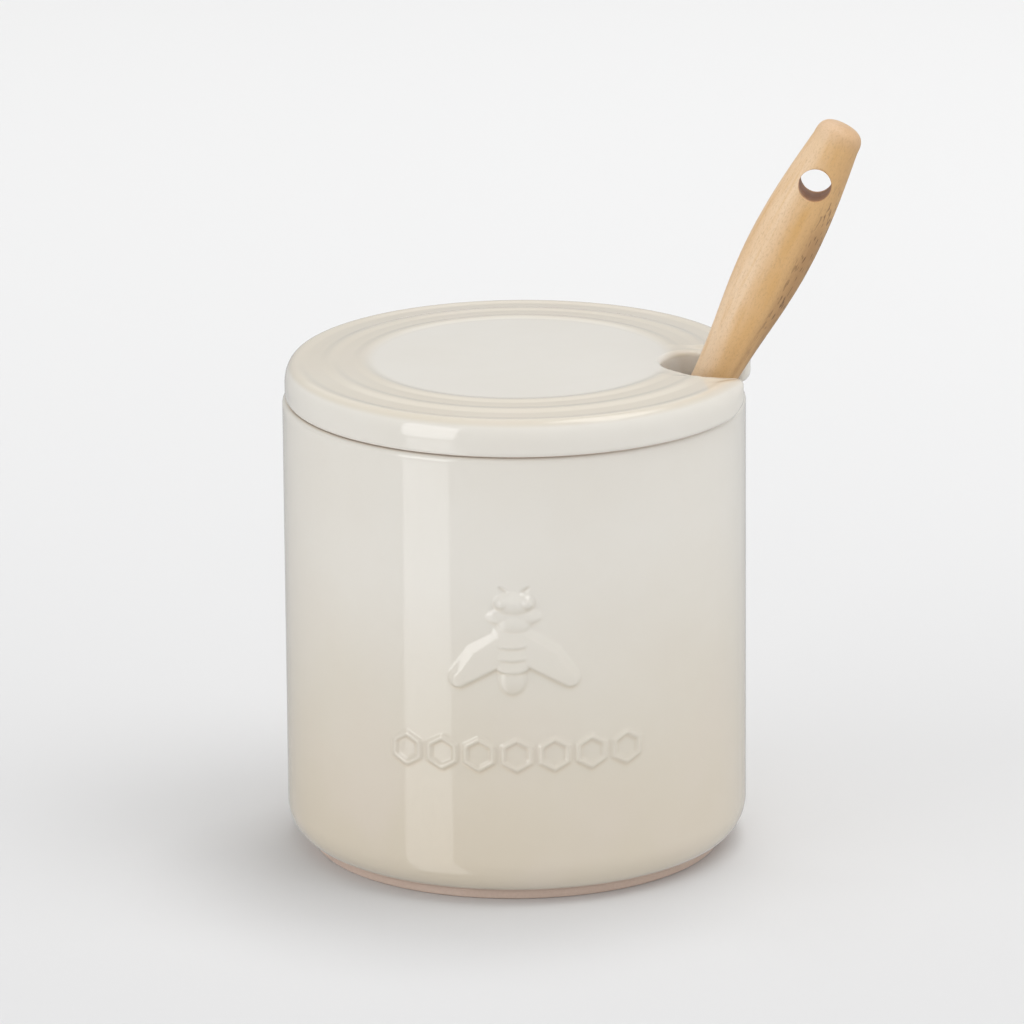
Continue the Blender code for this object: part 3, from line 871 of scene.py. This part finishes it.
def pot_glaze_layers(tree, place):
    """Thick and whitish near the rim, thinner and beige towards the foot, bare below."""
    up = axes_of(tree, place)["Z"]
    thickness = along(tree, up, GLAZE_THIN_UP, GLAZE_THICK_UP, 0.12, 0.95)
    # Painted shade along with gathered glaze: the glaze is made thinner and beiger below the relief's lower
    # edges
    pooled_and_shaded = add_node(tree, "ShaderNodeAttribute", attribute_name="pooled_and_shaded").outputs["Fac"]
    thickness = maths(tree, "MULTIPLY_ADD", pooled_and_shaded, -0.5, thickness)
    rim = along(tree, up, POT_HEIGHT - 0.4, POT_HEIGHT + 0.1, 0.0, 0.5)
    thickness = maths(tree, "SUBTRACT", thickness, rim)
    bare = along(tree, up, FOOT_HEIGHT + 2.0, FOOT_HEIGHT - 0.6)
    return thickness, bare


def lid_glaze_layers(tree, place):
    """Whitish on the middle disc, beige over the ridges and whitish again on the edge."""
    axes = axes_of(tree, place)
    across = maths(tree, "SUBTRACT", axes["X"], LID_SHIFT * METRES)
    zone = along(tree, hypotenuse(tree, across, axes["Y"]), BEAD_RADII[0] - 3.4, BEAD_RADII[0] + 0.6)
    side = along(tree, axes["Z"], LID_TOP - 0.7, LID_TOP - 1.8)
    beaded = maths(tree, "SUBTRACT", zone, side, clamp=True)
    thickness = maths(tree, "MULTIPLY_ADD", beaded, -0.57, 0.97)
    bare = along(tree, axes["Z"], LID_UNDER + 0.4, LID_UNDER, 0.0, 0.8)
    return thickness, bare


def amber_patch(tree, axes, ripple, patch):
    """How amber the grip is near one patch, whose outline a noise ripples."""
    across, up, half_across, half_up, strength = patch
    side = maths(tree, "DIVIDE", maths(tree, "SUBTRACT", axes["X"], across * METRES), half_across * METRES)
    rise = maths(tree, "DIVIDE", maths(tree, "SUBTRACT", axes["Z"], up * METRES), half_up * METRES)
    far = maths(tree, "ADD", maths(tree, "POWER", side, 2.0), maths(tree, "POWER", rise, 2.0))
    return remapped(tree, nudged(tree, far, ripple, 3.5), 1.4, -0.5, 0.0, strength)


def wood_colour(tree, place, axes, streaks):
    """Pale on one side, darker and flecked on the other, the darker side partly painted shade, with amber
    patches and a duller cut end.
    """
    broad = noise(tree, scaled(tree, place, (150.0, 150.0, 16.0)), 1.0, 2.0)
    colour = mixed(tree, remapped(tree, broad, 0.3, 0.7), WOOD_MEDIUM, WOOD_PALE)
    colour = mixed(tree, remapped(tree, streaks, 0.45, 0.8, 0.0, 0.5), colour, WOOD_AMBER)
    golden = nudged(tree, axes["X"], broad, 0.006)
    colour = mixed(tree, along(tree, golden, -3.5, 1.2, 0.0, 0.95), colour, WOOD_GOLD)
    ripple = noise(tree, scaled(tree, place, (600.0, 600.0, 110.0)), 1.0, 2.0)
    for patch in AMBER_PATCHES:
        colour = mixed(tree, amber_patch(tree, axes, ripple, patch), colour, WOOD_AMBER)
    # The darker side is partly the wood's own tone and partly painted shade on the side turned from the
    # light, stronger further from the grip's end
    darker = nudged(tree, axes["X"], streaks, 0.004)
    lower = along(tree, axes["Z"], 152.0, 142.0, 0.35, 1.0)
    darker = maths(tree, "MULTIPLY", along(tree, darker, 1.8, 6.0, 0.0, 0.75), lower)
    colour = mixed(tree, darker, colour, WOOD_DARK_TONE_AND_SHADE)
    end = along(tree, axes["Z"], DIPPER_LENGTH - 5.0, DIPPER_LENGTH, 0.0, 0.4)
    return mixed(tree, end, colour, WOOD_END)


def wood_flecks(tree, place, axes):
    """Small dark flecks, most of them along the darker side of the grip."""
    flecks = noise(tree, scaled(tree, place, (1900.0, 1900.0, 420.0)), 1.0, 1.0)
    sided = along(tree, axes["X"], 3.0, 5.5)
    fleck = maths(tree, "MULTIPLY", remapped(tree, flecks, 0.575, 0.68), sided)
    return maths(tree, "MULTIPLY", fleck, along(tree, axes["Z"], 159.0, 150.0, 0.15, 0.75))


def make_wood():
    material, tree, shader = new_material("dipper_pale_wood")
    place = add_node(tree, "ShaderNodeAttribute", attribute_name="along_grain").outputs["Vector"]
    axes = axes_of(tree, place)
    streaks = noise(tree, scaled(tree, place, (620.0, 620.0, 40.0)), 1.0, 4.0, 0.65)
    pores = noise(tree, scaled(tree, place, (3200.0, 3200.0, 1400.0)), 1.0, 3.0, 0.7)
    fleck = wood_flecks(tree, place, axes)
    colour = wood_colour(tree, place, axes, streaks)
    colour = mixed(tree, remapped(tree, pores, 0.45, 0.8, 0.0, 0.4), colour, WOOD_DARK_TONE_AND_SHADE)
    colour = mixed(tree, fleck, colour, WOOD_FLECK)
    # Inside the hanging hole: the darker end grain of its wall together with painted shade
    from_hole = hypotenuse(tree, axes["X"], maths(tree, "SUBTRACT", axes["Z"], HOLE_HEIGHT * METRES))
    bore = along(tree, from_hole, HOLE_RADIUS + 0.12, HOLE_RADIUS + 0.03, 0.0, 0.8)
    colour = mixed(tree, bore, colour, WOOD_BORE_GRAIN_AND_SHADE)
    connect(tree, shader.inputs["Base Color"], colour)
    connect(tree, shader.inputs["Roughness"], remapped(tree, streaks, 0.3, 0.7, 0.42, 0.58))
    bumped(tree, shader, maths(tree, "MULTIPLY_ADD", fleck, -0.8, streaks))
    return material


def dress(piece, material, node):
    piece.data.materials.clear()
    piece.data.materials.append(material)
    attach(piece, "root")
    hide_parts(node)


# Stage

def make_floor():
    size = 12.0
    mesh = bpy.data.meshes.new("floor")
    corners = [(-size, -size, 0.0), (size, -size, 0.0), (size, size, 0.0), (-size, size, 0.0)]
    mesh.from_pydata(corners, [], [(0, 1, 2, 3)])
    floor = bpy.data.objects.new("floor", mesh)
    floor.location.z = -0.00005
    bpy.context.scene.collection.objects.link(floor)
    material, tree, shader = new_material("pale_floor")
    # Painted shade: the floor's colour darkens towards the camera and lightens towards the back, standing
    # in for the fall of light across it
    back = axes_of(tree, object_place(tree))["Y"]
    shade = remapped(tree, back, -0.35, 0.9)
    connect(tree, shader.inputs["Base Color"], mixed(tree, shade, FLOOR_NEAR, FLOOR_FAR))
    shader.inputs["Roughness"].default_value = 0.9
    shader.inputs["Specular IOR Level"].default_value = 0.1
    mesh.materials.append(material)
    floor.visible_glossy = False


def make_light(name, place, aim, size, energy):
    light = bpy.data.lights.new(name, "AREA")
    light.shape = "RECTANGLE"
    light.size = size[0]
    light.size_y = size[1]
    light.energy = energy
    lamp = bpy.data.objects.new(name, light)
    lamp.location = place
    lamp.rotation_euler = (Vector(aim) - Vector(place)).to_track_quat("-Z", "Y").to_euler()
    lamp.visible_camera = False
    bpy.context.scene.collection.objects.link(lamp)
    return lamp


def round_the_object(degrees_left, distance, height):
    """A place at a turn to the left of the camera, as seen from the object."""
    turn = math.radians(degrees_left)
    return (-distance * math.sin(turn), -distance * math.cos(turn), height)


def make_lights():
    make_light("overhead_softbox", (0.85, -0.2, 1.75), LIGHT_AIM, (1.1, 1.1), 9.8)
    diffuse = (
        ("rear_softbox", (0.22, 0.5, 1.9), (0.6, 0.6), 8.5),
        ("left_fill", round_the_object(62.0, 1.9, 0.5), (1.6, 1.8), 13.6),
        ("front_fill", round_the_object(12.0, 2.1, 1.0), (1.2, 1.0), 2.4),
        ("right_fill", round_the_object(-58.0, 1.9, 0.4), (1.4, 1.6), 7.0),
    )
    for name, place, size, energy in diffuse:
        fill = make_light(name, place, LIGHT_AIM, size, energy)
        fill.visible_glossy = False
    glossy = (
        ("left_strip", round_the_object(44.5, 2.0, -1.17), (1.0, 1.67), 6.0),
        ("left_strip_above", round_the_object(44.5, 2.0, 0.42), (1.0, 1.5), 12.0),
        ("rear_panel", round_the_object(180.0, 1.7, 1.45), (2.2, 0.9), 1.7),
    )
    for name, place, size, energy in glossy:
        panel = make_light(name, place, GLOSS_AIM, size, energy)
        panel.visible_diffuse = False


def make_world():
    """Even white surroundings, a little darker where the room is open behind the camera."""
    world = bpy.data.worlds.new("studio")
    world.use_nodes = True
    tree = world.node_tree
    background = tree.nodes["Background"]
    background.inputs["Color"].default_value = (1.0, 1.0, 1.0, 1.0)
    axes = axes_of(tree, add_node(tree, "ShaderNodeTexCoord").outputs["Generated"])
    around = maths(tree, "MULTIPLY_ADD", maths(tree, "MAXIMUM", axes["Z"], 0.0), -0.5, 0.965)
    around = maths(tree, "MULTIPLY_ADD", axes["X"], -0.06, around)
    is_glossy = add_node(tree, "ShaderNodeLightPath").outputs["Is Glossy Ray"]
    sides = maths(tree, "MULTIPLY_ADD", axes["X"], 0.13, 0.48)
    mirrored = maths(tree, "MULTIPLY", is_glossy, maths(tree, "SUBTRACT", sides, around))
    connect(tree, background.inputs["Strength"], maths(tree, "ADD", around, mirrored))
    bpy.context.scene.world = world


def make_camera():
    target = Vector(CAMERA_TARGET) * METRES
    backward = Vector((0.0, -math.cos(CAMERA_DOWN), math.sin(CAMERA_DOWN)))
    level = Vector((1.0, 0.0, 0.0))
    above = backward.cross(level)
    right = level * math.cos(CAMERA_ROLL) + above * math.sin(CAMERA_ROLL)
    up = above * math.cos(CAMERA_ROLL) - level * math.sin(CAMERA_ROLL)
    camera = bpy.data.cameras.new("photo_camera")
    camera.sensor_width = 36.0
    camera.lens = CAMERA_LENS
    camera.clip_end = 60.0
    holder = bpy.data.objects.new("photo_camera", camera)
    axes = Matrix((right, up, backward)).transposed().to_4x4()
    holder.matrix_world = Matrix.Translation(target + backward * CAMERA_DISTANCE * METRES) @ axes
    bpy.context.scene.collection.objects.link(holder)
    bpy.context.scene.camera = holder


make_camera()
glaze_group = fired_glaze_group()
dress(make_pot(), dress_in_glaze("pot_glaze", glaze_group, pot_glaze_layers), "pot")
dress(make_lid(), dress_in_glaze("lid_glaze", glaze_group, lid_glaze_layers), "lid")
dress(make_dipper(), make_wood(), "dipper")
make_floor()
make_lights()
make_world()
bpy.context.scene.view_settings.view_transform = "Standard"
